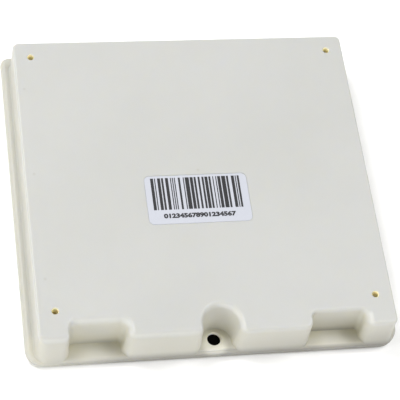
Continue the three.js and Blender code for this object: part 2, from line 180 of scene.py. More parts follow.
def setRing(verts, layers, form, height=None, rise=None, spread=0, inset=0, lift=0):
    # inset, lift and spread are shares of the widths that each wall has of its own
    place, draft, rim, foot = layers
    for vert in verts:
        x, y, _ = vert[place]
        pushX, pushY, _ = vert[draft]
        rimX, rimY, rimHigh = vert[rim]
        footX, footY, footLow = vert[foot]
        z = form["top"] - rimHigh * (1 - lift)
        if height is not None:
            z = height
        elif rise is not None:
            z = footLow + rise
        share = (form["top"] - z) / (form["top"] - form["floor"])
        vert.co = (x + pushX * share - rimX * inset + footX * spread,
                   y + pushY * share - rimY * inset + footY * spread, z)


def risingBody(bm, corners, form):
    # a closed body with drafted walls, a fillet at the foot and a rounded rim, which differ wall by wall
    face = roundedFace(bm, corners, form["segments"])
    layers = markWalls(bm, face, corners)
    rings = [dict(height=form["foot"], spread=1)]
    for i in range(form.get("footSteps", -1) + 1):
        angle = math.pi / 2 * i / form["footSteps"]
        rings.append(dict(rise=form["footHigh"] * (1 - math.cos(angle)), spread=1 - math.sin(angle)))
    for i in range(form["rimSteps"] + 1):
        angle = math.pi / 2 * i / form["rimSteps"]
        rings.append(dict(inset=1 - math.cos(angle), lift=math.sin(angle)))
    setRing(face.verts, layers, form, **rings[0])
    for ring in rings[1:]:
        made = bmesh.ops.extrude_face_region(bm, geom=[face, *face.edges])["geom"]
        face = next(item for item in made if isinstance(item, bmesh.types.BMFace))
        setRing(face.verts, layers, form, **ring)
    bmesh.ops.recalc_face_normals(bm, faces=bm.faces)


def turned(bm, profile, x, y, steps=40):
    # a solid of revolution on a vertical axis, from radius and height pairs that start and end on the axis
    verts = [bm.verts.new((x + radius, y, z)) for radius, z in profile]
    edges = [bm.edges.new(pair) for pair in zip(verts, verts[1:])]
    bmesh.ops.spin(bm, geom=verts + edges, cent=(x, y, 0), axis=(0, 0, 1), angle=math.tau, steps=steps,
                   use_merge=True)
    bmesh.ops.remove_doubles(bm, verts=bm.verts, dist=0.001)
    bmesh.ops.recalc_face_normals(bm, faces=bm.faces)


def block(bm, low, high):
    centre = (Vector(low) + Vector(high)) / 2
    size = Vector(high) - Vector(low)
    made = bmesh.ops.create_cube(bm, size=1)["verts"]
    bmesh.ops.scale(bm, vec=size, verts=made)
    bmesh.ops.translate(bm, vec=centre, verts=made)


def combine(body, bm, operation="DIFFERENCE"):
    tool = newPiece("tool", bm)
    modifier = body.modifiers.new("combine", "BOOLEAN")
    modifier.operation = operation
    modifier.solver = "EXACT"
    modifier.object = tool
    depsgraph = bpy.context.evaluated_depsgraph_get()
    done = bpy.data.meshes.new_from_object(body.evaluated_get(depsgraph))
    body.modifiers.clear()
    body.data = done
    bpy.data.objects.remove(tool)


def finishPiece(piece, material, nodes):
    mesh = piece.data
    bm = bmesh.new()
    bm.from_mesh(mesh)
    bmesh.ops.remove_doubles(bm, verts=bm.verts, dist=meshSetup["weld"])
    bmesh.ops.dissolve_degenerate(bm, dist=meshSetup["weld"], edges=bm.edges)
    bmesh.ops.recalc_face_normals(bm, faces=bm.faces)
    bmesh.ops.scale(bm, vec=(mm, mm, mm), verts=bm.verts)
    bm.to_mesh(mesh)
    bm.free()
    mesh.name = piece.name
    mesh.materials.clear()
    mesh.materials.append(material)
    for polygon in mesh.polygons:
        polygon.use_smooth = True
    mesh.set_sharp_from_angle(angle=math.radians(meshSetup["softAngle"]))
    weighted = piece.modifiers.new("evenShading", "WEIGHTED_NORMAL")
    weighted.keep_sharp = True
    weighted.weight = meshSetup["shadeWeight"]
    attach(piece, "root")
    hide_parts(*nodes)


# material helpers

class MaterialSketch:
    def __init__(self, name):
        self.material = bpy.data.materials.new(name)
        self.material.use_nodes = True
        self.nodes = self.material.node_tree.nodes
        self.links = self.material.node_tree.links
        self.shader = self.nodes["Principled BSDF"]
        self.coords = self.nodes.new("ShaderNodeTexCoord").outputs["Object"]

    def join(self, source, target):
        self.links.new(source, target)

    def noise(self, scale, detail=3.0, roughness=0.5, stretch=(1, 1, 1)):
        mapping = self.nodes.new("ShaderNodeMapping")
        mapping.inputs["Scale"].default_value = stretch
        self.join(self.coords, mapping.inputs["Vector"])
        node = self.nodes.new("ShaderNodeTexNoise")
        node.inputs["Scale"].default_value = scale
        node.inputs["Detail"].default_value = detail
        node.inputs["Roughness"].default_value = roughness
        self.join(mapping.outputs["Vector"], node.inputs["Vector"])
        return node.outputs["Fac"]

    def ramp(self, source, *stops):
        node = self.nodes.new("ShaderNodeValToRGB")
        elements = node.color_ramp.elements
        while len(elements) < len(stops):
            elements.new(0.5)
        for element, (position, color) in zip(elements, stops):
            element.position = position
            element.color = (*color, 1)
        self.join(source, node.inputs["Fac"])
        return node.outputs["Color"]

    def spread(self, source, low, high):
        node = self.nodes.new("ShaderNodeMapRange")
        node.inputs["To Min"].default_value = low
        node.inputs["To Max"].default_value = high
        self.join(source, node.inputs["Value"])
        return node.outputs["Result"]

    def mix(self, factor, first, second, blend="MIX"):
        node = self.nodes.new("ShaderNodeMix")
        node.data_type = "RGBA"
        node.blend_type = blend
        for value, socket in ((factor, node.inputs[0]), (first, node.inputs[6]), (second, node.inputs[7])):
            if isinstance(value, bpy.types.NodeSocket):
                self.join(value, socket)
            else:
                socket.default_value = value if isinstance(value, float) else (*value, 1)
        return node.outputs[2]

    def bump(self, source, strength, distance, below=None):
        node = self.nodes.new("ShaderNodeBump")
        node.inputs["Strength"].default_value = strength
        node.inputs["Distance"].default_value = distance
        self.join(source, node.inputs["Height"])
        if below:
            self.join(below, node.inputs["Normal"])
        return node.outputs["Normal"]

    def fade(self, source, start, end):
        # 1 up to the start, 0 from the end on, both in millimetres
        node = self.nodes.new("ShaderNodeMapRange")
        node.interpolation_type = "SMOOTHSTEP"
        node.inputs["From Min"].default_value = start * mm
        node.inputs["From Max"].default_value = end * mm
        node.inputs["To Min"].default_value = 1
        node.inputs["To Max"].default_value = 0
        self.join(source, node.inputs["Value"])
        return node.outputs["Result"]

    def near(self, centre, start, end, flat=False):
        # 1 close to a point, or with flat to a vertical axis through it
        vector = self.coords
        if flat:
            squash = self.nodes.new("ShaderNodeVectorMath")
            squash.operation = "MULTIPLY"
            squash.inputs[1].default_value = (1, 1, 0)
            self.join(vector, squash.inputs[0])
            vector = squash.outputs["Vector"]
        node = self.nodes.new("ShaderNodeVectorMath")
        node.operation = "DISTANCE"
        self.join(vector, node.inputs[0])
        node.inputs[1].default_value = [value * mm for value in centre]
        return self.fade(node.outputs["Value"], start, end)

    def openness(self, reach, samples=12):
        # 1 on an open surface, less in corners
        node = self.nodes.new("ShaderNodeAmbientOcclusion")
        node.samples = samples
        node.inputs["Distance"].default_value = reach * mm
        node.only_local = True
        return node.outputs["AO"]

    def place(self, axis):
        node = self.nodes.new("ShaderNodeSeparateXYZ")
        self.join(self.coords, node.inputs["Vector"])
        return node.outputs[axis]

    def times(self, first, second):
        node = self.nodes.new("ShaderNodeMath")
        node.operation = "MULTIPLY"
        node.use_clamp = True
        self.join(first, node.inputs[0])
        if isinstance(second, bpy.types.NodeSocket):
            self.join(second, node.inputs[1])
        else:
            node.inputs[1].default_value = second
        return node.outputs["Value"]

    def facingFront(self):
        # 1 where the surface faces -Y
        split = self.nodes.new("ShaderNodeSeparateXYZ")
        self.join(self.nodes.new("ShaderNodeNewGeometry").outputs["Normal"], split.inputs["Vector"])
        return self.times(split.outputs["Y"], -1.0)

    def use(self, **sockets):
        names = dict(color="Base Color", roughness="Roughness", normal="Normal", metallic="Metallic",
                     transmission="Transmission Weight", specular="Specular IOR Level",
                     subsurface="Subsurface Weight", throughRadius="Subsurface Radius",
                     throughScale="Subsurface Scale")
        for key, value in sockets.items():
            socket = self.shader.inputs[names[key]]
            if isinstance(value, bpy.types.NodeSocket):
                self.join(value, socket)
            else:
                socket.default_value = value
        return self.material


# ivory moulded casing

ivorySetup = dict(
    # edge is a painted highlight on the rounded rims just under the service face; wall is the warmer white
    # of the walls and the flange
    face=(0.485, 0.488, 0.472), edge=(0.536, 0.538, 0.513), wall=(0.52, 0.512, 0.458), edgeHigh=4.0,
    # painted shade: how dark the lower wall is painted towards its foot and its right end, and over what
    # heights and lengths
    paintedShades=(dict(shade=(0.50, 0.50, 0.52), low=2.0, high=11.0, left=-98.0, right=-50.0),
           dict(shade=(0.78, 0.77, 0.76), low=8.0, high=28.0, left=-40.0, right=90.0)),
    cloudLow=(0.955, 0.955, 0.945), cloudScale=11,
    grainScale=1500, grainLow=(0.955, 0.955, 0.95), sparkScale=3200,
    scuffScale=60, roughLow=0.34, roughHigh=0.48,
    markColor=(0.40, 0.39, 0.35), markStart=0.2, markEnd=1.3, markStrength=0.6,
    # the gate mark in the middle and the ejector marks along one side
    marks=((-0.2, 3.5), (-92.9, 61.2), (-91.8, 4.9), (-91.2, -60.2)),
    # painted highlight: the outlet's lip and bore are painted a light warm white, as a bright ring
    outletHighlight=(0.86, 0.82, 0.70), outletBlend=0.4,
    # painted light: the walls of the corner bores are painted a light warm tan for the light that bounces
    # about inside them
    boreLight=(0.88, 0.81, 0.56), boreStart=1.8, boreEnd=2.1,
    # painted shade: the plastic is painted darker in its corners and creases, warmer near the lower edge and
    # greyer elsewhere
    cornerReach=14, frontEnd=-88.0, frontStart=-80.0,
    warmShadeStops=((0.2, (0.76, 0.68, 0.40)), (0.40, (0.99, 0.96, 0.83)), (0.7, (1.03, 1.02, 0.98)),
                 (1.0, (1, 1, 1))),
    greyShadeStops=((0.2, (0.70, 0.70, 0.69)), (0.6, (0.90, 0.905, 0.91)), (0.9, (0.96, 0.965, 0.98)),
                 (1.0, (1, 1, 1))),
    # painted light: the floors are painted brighter at their open front, where light comes in: place, reach
    # of the brightest part, full reach, gain
    paintedFloorLight=(((-0.8, -95.0, 7.5), 4.0, 8.5, (1.55, 1.56, 1.60)),
                 ((-66.0, -100.0, 6.5), 5.0, 14.0, (1.12, 1.12, 1.13)),
                 ((66.0, -100.0, 6.5), 5.0, 14.0, (1.14, 1.14, 1.15))),
    through=0.35, throughRadius=(1.0, 0.82, 0.42), throughScale=0.0035,
)


def ivoryPlastic(faceHeight, bores, outlet):
    sketch = MaterialSketch("ivoryPlastic")
    # the band just under the service face, on the rounded rims, is painted brighter as a highlight, and
    # further down the walls and the flange are a warmer white than the face
    below = sketch.fade(sketch.place("Z"), faceHeight - ivorySetup["edgeHigh"], faceHeight)
    color = sketch.ramp(below, (0.0, ivorySetup["face"]), (0.1, ivorySetup["edge"]),
                        (0.4, ivorySetup["edge"]), (1.0, ivorySetup["wall"]))
    # painted shade: the lower wall is painted darker towards its foot and its right end
    for paintedShade in ivorySetup["paintedShades"]:
        low = sketch.fade(sketch.place("Z"), paintedShade["low"], paintedShade["high"])
        right = sketch.fade(sketch.place("X"), paintedShade["right"], paintedShade["left"])
        amount = sketch.times(sketch.times(low, right), sketch.facingFront())
        color = sketch.mix(1.0, color, sketch.mix(amount, (1.0, 1.0, 1.0), paintedShade["shade"]), blend="MULTIPLY")
    clouds = sketch.noise(ivorySetup["cloudScale"], detail=5, roughness=0.6)
    cloudTint = sketch.ramp(clouds, (0.3, ivorySetup["cloudLow"]), (0.65, (1, 1, 1)))
    color = sketch.mix(1.0, color, cloudTint, blend="MULTIPLY")
    grain = sketch.noise(ivorySetup["grainScale"], detail=4, roughness=0.65)
    grainTint = sketch.ramp(grain, (0.3, ivorySetup["grainLow"]), (0.7, (1, 1, 1)))
    color = sketch.mix(0.7, color, grainTint, blend="MULTIPLY")
    for x, y in ivorySetup["marks"]:
        mark = sketch.near((x, y, faceHeight), ivorySetup["markStart"], ivorySetup["markEnd"])
        faint = sketch.spread(mark, 0, ivorySetup["markStrength"])
        color = sketch.mix(faint, color, ivorySetup["markColor"])
    # painted shade from the occlusion of nearby surfaces, darkening corners and creases
    corners = sketch.openness(ivorySetup["cornerReach"])
    front = sketch.fade(sketch.place("Y"), ivorySetup["frontEnd"], ivorySetup["frontStart"])
    warmCornerShade = sketch.ramp(corners, *ivorySetup["warmShadeStops"])
    greyCornerShade = sketch.ramp(corners, *ivorySetup["greyShadeStops"])
    color = sketch.mix(1.0, color, sketch.mix(front, greyCornerShade, warmCornerShade), blend="MULTIPLY")
    # painted light on the floors by their open front
    for centre, reach, farReach, gain in ivorySetup["paintedFloorLight"]:
        paintedLight = sketch.near(centre, reach, farReach)
        color = sketch.mix(1.0, color, sketch.mix(paintedLight, (1.0, 1.0, 1.0), gain), blend="MULTIPLY")
    # painted light inside the corner bores
    for x, y in bores:
        bore = sketch.near((x, y, 0), ivorySetup["boreStart"], ivorySetup["boreEnd"], flat=True)
        color = sketch.mix(bore, color, ivorySetup["boreLight"])
    # painted highlight on the outlet's lip and bore
    x, y, radius = outlet
    opening = sketch.near((x, y, 0), radius, radius + ivorySetup["outletBlend"], flat=True)
    color = sketch.mix(opening, color, ivorySetup["outletHighlight"])
    scuffs = sketch.noise(ivorySetup["scuffScale"], detail=8, roughness=0.7, stretch=(1, 3, 1))
    rough = sketch.spread(scuffs, ivorySetup["roughLow"], ivorySetup["roughHigh"])
    spark = sketch.noise(ivorySetup["sparkScale"], detail=2)
    normal = sketch.bump(spark, 0.2, 0.00003)
    normal = sketch.bump(grain, 0.15, 0.00005, below=normal)
    return sketch.use(color=color, roughness=rough, normal=normal, subsurface=ivorySetup["through"],
                      throughRadius=ivorySetup["throughRadius"], throughScale=ivorySetup["throughScale"])


# bottom housing

housingLow, housingHigh = boxOf("bottom_housing")
coverLow, _ = boxOf("front_cover")
labelLow, labelHigh = boxOf("barcode_label")

# corners run anticlockwise from the lower left
flangeSetup = dict(corners=(9.5, 11.0, 6.0, 5.0), edge=2.6, lowerEdge=1.7, top=6.0, segments=14, rimSteps=7)
traySetup = dict(
    sideInset=5.7, topInset=5.9, bottomInset=1.8, corners=(5.0, 3.2, 3.0, 3.6), wall=2.4, ceiling=2.4,
    sideDraft=0.5, bottomDraft=1.5, sideRim=1.2, leftRim=3.8, rightRim=1.6,
    sideFoot=2.0, sideFootLow=5.4, innerFoot=0.9, innerFootLow=5.7, lowerFoot=0.1, lowerFootLow=4.6,
    footHigh=4.2, footSteps=6, sink=1.0, segments=10, rimSteps=7,
)
# pocket walls in plan, from the middle of the casing, each with its draft and the width of its rounded rim
leftPocket = dict(left=-81.2, right=-49.6, back=-87.0, corner=4.0, mouth=4.0,
                  leftRim=1.2, backRim=4.4, rightRim=3.6, leftDraft=1.0, backDraft=1.1, rightDraft=1.8)
rightPocket = dict(left=50.2, right=80.6, back=-87.8, corner=3.0, mouth=4.4,
                   leftRim=1.2, backRim=1.6, rightRim=4.3, leftDraft=1.2, backDraft=0.8, rightDraft=0.4)
pocketRoom = dict(beside=3.0, behind=4.0, top=3.8)  # the hollow under each pocket's floor
scallopSetup = dict(x=0.3, y=-91.0, radius=10.2, leftRim=1.6, rim=2.9, draft=1.8, shift=2.2, mouth=3.8,
                    floor=7.2, floorBack=-78.0, floorRound=1.2, floorSpare=0.4, floorSink=1.5, floorIn=1.1,
                    roomHalf=14.0, roomBehind=1.0, roomTop=5.0)
outletSetup = dict(x=-0.8, y=-91.0, radius=3.7, lip=0.45)
cornerHoleSetup = dict(inX=15.5, inTop=16.0, inBottom=19.6, radius=1.75, depth=14.0, lip=0.5)
postSetup = dict(cornerRadius=4.6, cornerFoot=8.0, socket=2.9, socketTop=12.5, boardRadius=3.6,
                 boardPilot=1.7, boardDeep=5.4, clearance=0.3)
labelField = dict(corner=3.0, clearance=0.3, segments=8)
overcut = 0.02  # how far a tool stands out of the face that it cuts
sharpRim = 0.01  # rim width where an edge stays almost sharp


def footOf(wallName):
    return dict(foot=traySetup[wallName + "Foot"], footLow=traySetup[wallName + "FootLow"])


def pocketCorners(pocket, bottom, rimAfter):
    left = dict(x=pocket["left"], radius=pocket["corner"], **footOf("inner"))
    right = dict(left, x=pocket["right"])
    return [
        dict(left, y=bottom, radius=pocket["mouth"], rim=pocket["leftRim"], draft=pocket["leftDraft"]),
        dict(left, y=pocket["back"], rim=pocket["backRim"], draft=pocket["backDraft"]),
        dict(right, y=pocket["back"], rim=pocket["rightRim"], draft=pocket["rightDraft"]),
        dict(x=pocket["right"], y=bottom, radius=pocket["mouth"], rim=rimAfter,
             draft=traySetup["bottomDraft"], **footOf("lower")),
    ]


def trayCorners():
    # anticlockwise from the lower left; the rim and draft belong to the wall that leaves the corner
    left, right = housingLow.x + traySetup["sideInset"], housingHigh.x - traySetup["sideInset"]
    bottom, top = housingLow.y + traySetup["bottomInset"], housingHigh.y - traySetup["topInset"]
    radii = traySetup["corners"]
    side = dict(rim=traySetup["sideRim"], draft=traySetup["sideDraft"], outer=True, **footOf("side"))
    scallop = scallopSetup
    arcTop = scallop["y"] + scallop["radius"]
    arcLeft, arcRight = scallop["x"] - scallop["radius"], scallop["x"] + scallop["radius"]
    mouth = dict(y=bottom, radius=scallop["mouth"], **footOf("inner"))
    arc = dict(y=arcTop, radius=scallop["radius"], draft=scallop["draft"], rim=scallop["rim"],
               **footOf("inner"))
    return [
        dict(x=left, y=bottom, radius=radii[0], rim=traySetup["leftRim"], draft=traySetup["bottomDraft"],
             outer=True, **footOf("lower")),
        *pocketCorners(leftPocket, bottom, traySetup["leftRim"]),
        dict(mouth, x=arcLeft, rim=scallop["leftRim"], draft=scallop["draft"]),
        dict(arc, x=arcLeft, arc=(scallop["x"], scallop["y"], scallop["radius"]), shift=scallop["shift"]),
        dict(arc, x=arcRight),
        dict(mouth, x=arcRight, rim=traySetup["rightRim"], draft=traySetup["bottomDraft"]) | footOf("lower"),
        *pocketCorners(rightPocket, bottom, traySetup["rightRim"]),
        dict(side, x=right, y=bottom, radius=radii[1]),
        dict(side, x=right, y=top, radius=radii[2]),
        dict(side, x=left, y=top, radius=radii[3]),
    ]


def flangeCorners():
    corners = []
    for (x, y), radius in zip(((-1, -1), (1, -1), (1, 1), (-1, 1)), flangeSetup["corners"]):
        edge = flangeSetup["lowerEdge"] if (x, y) == (-1, -1) else flangeSetup["edge"]
        corners.append(dict(x=x * housingHigh.x, y=y * housingHigh.y, radius=radius, rim=edge, draft=0))
    return corners


def postPlaces():
    hole = cornerHoleSetup
    corners = [(side * (housingHigh.x - hole["inX"]), y)
               for side in (-1, 1)
               for y in (housingHigh.y - hole["inTop"], housingLow.y + hole["inBottom"])]
    screws = [name for name in sorted(frame["nodes"]) if name.startswith("board_screw")]
    boards = []
    for name in screws:
        low, high = boxOf(name)
        boards.append(((low.x + high.x) / 2, (low.y + high.y) / 2))
    return corners, boards


def labelCorners(spare, **shape):
    left, right = labelLow.x - spare, labelHigh.x + spare
    bottom, top = labelLow.y - spare, labelHigh.y + spare
    return [dict(shape, x=x, y=y) for x, y in ((left, bottom), (right, bottom), (right, top), (left, top))]


def roomTool():
    bm = bmesh.new()
    ceiling = housingHigh.z - traySetup["ceiling"]
    form = dict(top=ceiling, floor=flangeSetup["top"], foot=coverLow.z, segments=5, rimSteps=1)
    corners = [dict(x=corner["x"], y=corner["y"], radius=corner["radius"], rim=sharpRim, draft=0)
               for corner in shrunk(trayCorners(), traySetup["wall"])]
    risingBody(bm, corners, form)
    return bm


def buildHousing(material):
    top, low = housingHigh.z, housingLow.z
    bm = bmesh.new()
    risingBody(bm, flangeCorners(), dict(flangeSetup, floor=low, foot=low))
    housing = newPiece("bottomHousing", bm)

    bm = bmesh.new()
    foot = low + traySetup["sink"]
    risingBody(bm, trayCorners(), dict(traySetup, top=top, floor=flangeSetup["top"], foot=foot))
    combine(housing, bm, "UNION")

    # the scallop's floor stands a little above the flange
    bm = bmesh.new()
    scallop = scallopSetup
    half = scallop["radius"] + scallop["floorSpare"]
    block(bm, (scallop["x"] - half, housingLow.y + scallop["floorIn"], low + scallop["floorSink"]),
          (scallop["x"] + half, scallop["floorBack"], scallop["floor"]))
    lowerEdge = [edge for edge in bm.edges
                 if all(vert.co.z > scallop["floor"] - overcut and vert.co.y < scallop["y"]
                        for vert in edge.verts)]
    bmesh.ops.bevel(bm, geom=lowerEdge, offset=scallop["floorRound"], offset_type="OFFSET", segments=5,
                    profile=0.5, affect="EDGES", material=-1)
    combine(housing, bm, "UNION")

    corners, boards = postPlaces()
    room = newPiece("room", roomTool())
    bm = bmesh.new()
    post = postSetup
    for x, y in corners:
        turned(bm, [(0, post["cornerFoot"]), (post["cornerRadius"], post["cornerFoot"]),
                    (post["cornerRadius"], top), (0, top)], x, y, 32)
    screwSeat = boxOf("circuit_board")[1].z + post["clearance"]
    for x, y in boards:
        turned(bm, [(0, screwSeat), (post["boardRadius"], screwSeat), (post["boardRadius"], top), (0, top)],
               x, y, 24)
    combine(room, bm)
    bm = bmesh.new()
    bm.from_mesh(room.data)
    bpy.data.objects.remove(room)
    combine(housing, bm)

    # the room under the floors of the scallop and the pockets
    bm = bmesh.new()
    inner = housingLow.y + traySetup["bottomInset"] + traySetup["wall"]
    back = scallop["floorBack"] + scallop["roomBehind"]
    block(bm, (scallop["x"] - scallop["roomHalf"], inner, coverLow.z),
          (scallop["x"] + scallop["roomHalf"], back, scallop["roomTop"]))
    for pocket in (leftPocket, rightPocket):
        back = pocket["back"] + pocketRoom["behind"]
        block(bm, (pocket["left"] - pocketRoom["beside"], inner, coverLow.z),
              (pocket["right"] + pocketRoom["beside"], back, pocketRoom["top"]))
    combine(housing, bm)

    bm = bmesh.new()
    hole = cornerHoleSetup
    for x, y in corners:
        turned(bm, [(0, top - hole["depth"]), (hole["radius"], top - hole["depth"]),
                    (hole["radius"], top - hole["lip"]),
                    (hole["radius"] + hole["lip"] * 0.3, top - hole["lip"] * 0.4),
                    (hole["radius"] + hole["lip"], top + overcut), (0, top + overcut)], x, y, 28)
        turned(bm, [(0, low), (post["socket"], low), (post["socket"], post["socketTop"]),
                    (0, post["socketTop"])], x, y, 28)
    for x, y in boards:
        turned(bm, [(0, screwSeat - 1), (post["boardPilot"], screwSeat - 1),
                    (post["boardPilot"], screwSeat + post["boardDeep"]), (0, screwSeat + post["boardDeep"])],
               x, y, 20)
    outlet = outletSetup
    floor = scallop["floor"]
    turned(bm, [(0, coverLow.z), (outlet["radius"], coverLow.z), (outlet["radius"], floor - outlet["lip"]),
                (outlet["radius"] + outlet["lip"] * 0.3, floor - outlet["lip"] * 0.3),
                (outlet["radius"] + outlet["lip"], floor + overcut), (0, floor + overcut)],
           outlet["x"], outlet["y"], 48)
    combine(housing, bm)

    # the field that the label lies in
    bm = bmesh.new()
    clearance = labelField["clearance"]
    field = labelCorners(clearance, radius=labelField["corner"] + clearance, rim=sharpRim, draft=0)
    risingBody(bm, field, dict(top=top + 1, floor=top, foot=labelLow.z,
                               segments=labelField["segments"], rimSteps=1))
    combine(housing, bm)
    finishPiece(housing, material, ["bottom_housing"])


outlet = (outletSetup["x"], outletSetup["y"], outletSetup["radius"])
ivory = ivoryPlastic(housingHigh.z, postPlaces()[0], outlet)
buildHousing(ivory)
print("bottom housing done")


# front cover

coverSetup = dict(tongueTop=5.6, tongueThick=1.6, clearance=0.3, sink=0.5, spigot=2.6, spigotTop=12.0,
                  spigotLead=0.5, lensBore=2.65, lensLead=0.3, lensLeadTop=0.4, collar=3.5, collarTop=5.5,
                  pocketClear=21.0, scallopClear=16.0, clearDeep=12.0, clearTop=8.0)


def buildCover(material):
    parting = housingLow.z - coverSetup["clearance"]
    bm = bmesh.new()
    risingBody(bm, flangeCorners(), dict(flangeSetup, top=parting, floor=0, foot=0))
    bmesh.ops.transform(bm, matrix=Matrix.Translation((0, 0, parting)) @ Matrix.Scale(-1, 4, (0, 0, 1)),
                        verts=bm.verts)
    bmesh.ops.recalc_face_normals(bm, faces=bm.faces)
    cover = newPiece("frontCover", bm)

    # the rib that centres the cover in the housing's rim, open at the pockets and the scallop
    inset = traySetup["wall"] + coverSetup["clearance"]
    trayOutline = [dict(x=corner["x"], y=corner["y"], radius=corner["radius"])
                   for corner in trayCorners() if corner.get("outer")]
    sunk = parting - coverSetup["sink"]
    ringForm = dict(top=coverSetup["tongueTop"], floor=0, foot=sunk, segments=8, rimSteps=1)
    outer = [dict(corner, rim=0.2, draft=0) for corner in shrunk(trayOutline, inset)]
    inner = [dict(corner, rim=sharpRim, draft=0)
             for corner in shrunk(trayOutline, inset + coverSetup["tongueThick"])]
    bm = bmesh.new()
    risingBody(bm, outer, ringForm)
    rib = newPiece("rib", bm)
    bm = bmesh.new()
    risingBody(bm, inner, dict(ringForm, top=ringForm["top"] + 2, foot=parting - 1))
    combine(rib, bm)
    bm = bmesh.new()
    bottom = housingLow.y
    middles = [((pocket["left"] + pocket["right"]) / 2, coverSetup["pocketClear"])
               for pocket in (leftPocket, rightPocket)]
    for x, half in middles + [(scallopSetup["x"], coverSetup["scallopClear"])]:
        block(bm, (x - half, bottom, parting),
              (x + half, bottom + coverSetup["clearDeep"], coverSetup["clearTop"]))
    combine(rib, bm)
    bm = bmesh.new()
    bm.from_mesh(rib.data)
    bpy.data.objects.remove(rib)
    combine(cover, bm, "UNION")

    bm = bmesh.new()
    corners, _ = postPlaces()
    spigot, spigotTop, lead = coverSetup["spigot"], coverSetup["spigotTop"], coverSetup["spigotLead"]
    for x, y in corners:
        turned(bm, [(0, sunk), (spigot, sunk), (spigot, spigotTop - lead), (spigot - lead, spigotTop),
                    (0, spigotTop)], x, y, 32)
    lensLow, lensHigh = boxOf("indicator_lens")
    lens = (lensLow + lensHigh) / 2
    collar, collarTop = coverSetup["collar"], coverSetup["collarTop"]
    turned(bm, [(0, sunk), (collar, sunk), (collar, collarTop), (0, collarTop)], lens.x, lens.y, 32)
    combine(cover, bm, "UNION")
    bm = bmesh.new()
    bore = coverSetup["lensBore"]
    turned(bm, [(0, -overcut), (bore + coverSetup["lensLead"], -overcut), (bore, coverSetup["lensLeadTop"]),
                (bore, collarTop + 1), (0, collarTop + 1)], lens.x, lens.y, 40)
    combine(cover, bm)
    finishPiece(cover, material, ["front_cover"])


buildCover(ivory)
print("front cover done")


# bar-code label

labelSetup = dict(corner=3.0, filmThick=0.12, rim=0.03, segments=10, modules=90, perSymbol=11, seed=7,
                  left=3.4, right=4.1, top=1.4, barsBottom=8.9, bars=(1, 2, 3, 3, 4), spaces=(1, 1, 2, 2, 3),
                  closing=(2, 3, 3, 1, 1, 1, 2),
                  digits="012345678901234567", digitsLeft=8.4, digitsRight=8.8, digitsMiddle=5.0,
                  digitsHigh=3.1, bold=0.055, deep=0.01)
filmTop = labelLow.z + labelSetup["filmThick"]


def filmMaterial():
    sketch = MaterialSketch("labelFilm")
    fibres = sketch.noise(900, detail=6, roughness=0.7, stretch=(1, 2.5, 1))
    color = sketch.ramp(fibres, (0.3, (0.45, 0.465, 0.515)), (0.7, (0.49, 0.505, 0.555)))
    rough = sketch.spread(sketch.noise(120, detail=4), 0.38, 0.52)
    return sketch.use(color=color, roughness=rough, normal=sketch.bump(fibres, 0.15, 0.00002))


def inkMaterial():
    sketch = MaterialSketch("labelInk")
    speckle = sketch.noise(2500, detail=3)
    color = sketch.ramp(speckle, (0.35, (0.006, 0.006, 0.007)), (0.75, (0.03, 0.03, 0.033)))
    rough = sketch.spread(speckle, 0.4, 0.6)
    return sketch.use(color=color, roughness=rough, normal=sketch.bump(speckle, 0.1, 0.00001))


def symbolWidths(rng):
    # three bars, each with the space after it, that make up one symbol
    while True:
        widths = [rng.choice(labelSetup["spaces" if i % 2 else "bars"]) for i in range(6)]
        if sum(widths) == labelSetup["perSymbol"]:
            return widths


def buildLabel(material):
    bm = bmesh.new()
    corners = labelCorners(0, radius=labelSetup["corner"], rim=labelSetup["rim"], draft=0)
    risingBody(bm, corners, dict(top=filmTop, floor=labelLow.z, foot=labelLow.z,
                                 segments=labelSetup["segments"], rimSteps=2))
    finishPiece(newPiece("labelFilm", bm), material, ["barcode_label"])


def buildBars():
    rng = random.Random(labelSetup["seed"])
    left, right = labelLow.x + labelSetup["left"], labelHigh.x - labelSetup["right"]
    step = (right - left) / labelSetup["modules"]
    low, high = labelLow.y + labelSetup["barsBottom"], labelHigh.y - labelSetup["top"]
    widths = []
    while sum(widths) < labelSetup["modules"] - sum(labelSetup["closing"]):
        widths += symbolWidths(rng)
    widths += labelSetup["closing"]
    bm = bmesh.new()
    at = 0
    for i, width in enumerate(widths):
        if i % 2 == 0:
            block(bm, (left + at * step, low, filmTop), (left + (at + width) * step, high, labelHigh.z))
        at += width
    return newPiece("labelBars", bm)


def buildDigits():
    curve = bpy.data.curves.new("labelDigits", "FONT")
    curve.body = labelSetup["digits"]
    curve.offset = labelSetup["bold"]
    curve.extrude = labelSetup["deep"]
    curve.resolution_u = 3
    text = bpy.data.objects.new("textTool", curve)
    bpy.context.scene.collection.objects.link(text)
    depsgraph = bpy.context.evaluated_depsgraph_get()
    mesh = bpy.data.meshes.new_from_object(text.evaluated_get(depsgraph))
    bpy.data.objects.remove(text)
    bm = bmesh.new()
    bm.from_mesh(mesh)
    xs, ys, zs = zip(*(vert.co for vert in bm.verts))
    left, right = labelLow.x + labelSetup["digitsLeft"], labelHigh.x - labelSetup["digitsRight"]
    scale = Vector(((right - left) / (max(xs) - min(xs)), labelSetup["digitsHigh"] / (max(ys) - min(ys)),
                    (labelHigh.z - filmTop) / (max(zs) - min(zs))))
    bmesh.ops.translate(bm, vec=(-min(xs), -(min(ys) + max(ys)) / 2, -min(zs)), verts=bm.verts)
    bmesh.ops.scale(bm, vec=scale, verts=bm.verts)
    bmesh.ops.translate(bm, vec=(left, labelLow.y + labelSetup["digitsMiddle"], filmTop), verts=bm.verts)
    return newPiece("labelDigits", bm)


def finishInk(piece, material):
    mesh = piece.data
    mesh.transform(Matrix.Scale(mm, 4))
    mesh.materials.clear()
    mesh.materials.append(material)
    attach(piece, "root")


buildLabel(filmMaterial())
ink = inkMaterial()
finishInk(buildBars(), ink)
finishInk(buildDigits(), ink)
print("label done")


# finishes of the pieces that stay as the frame has them

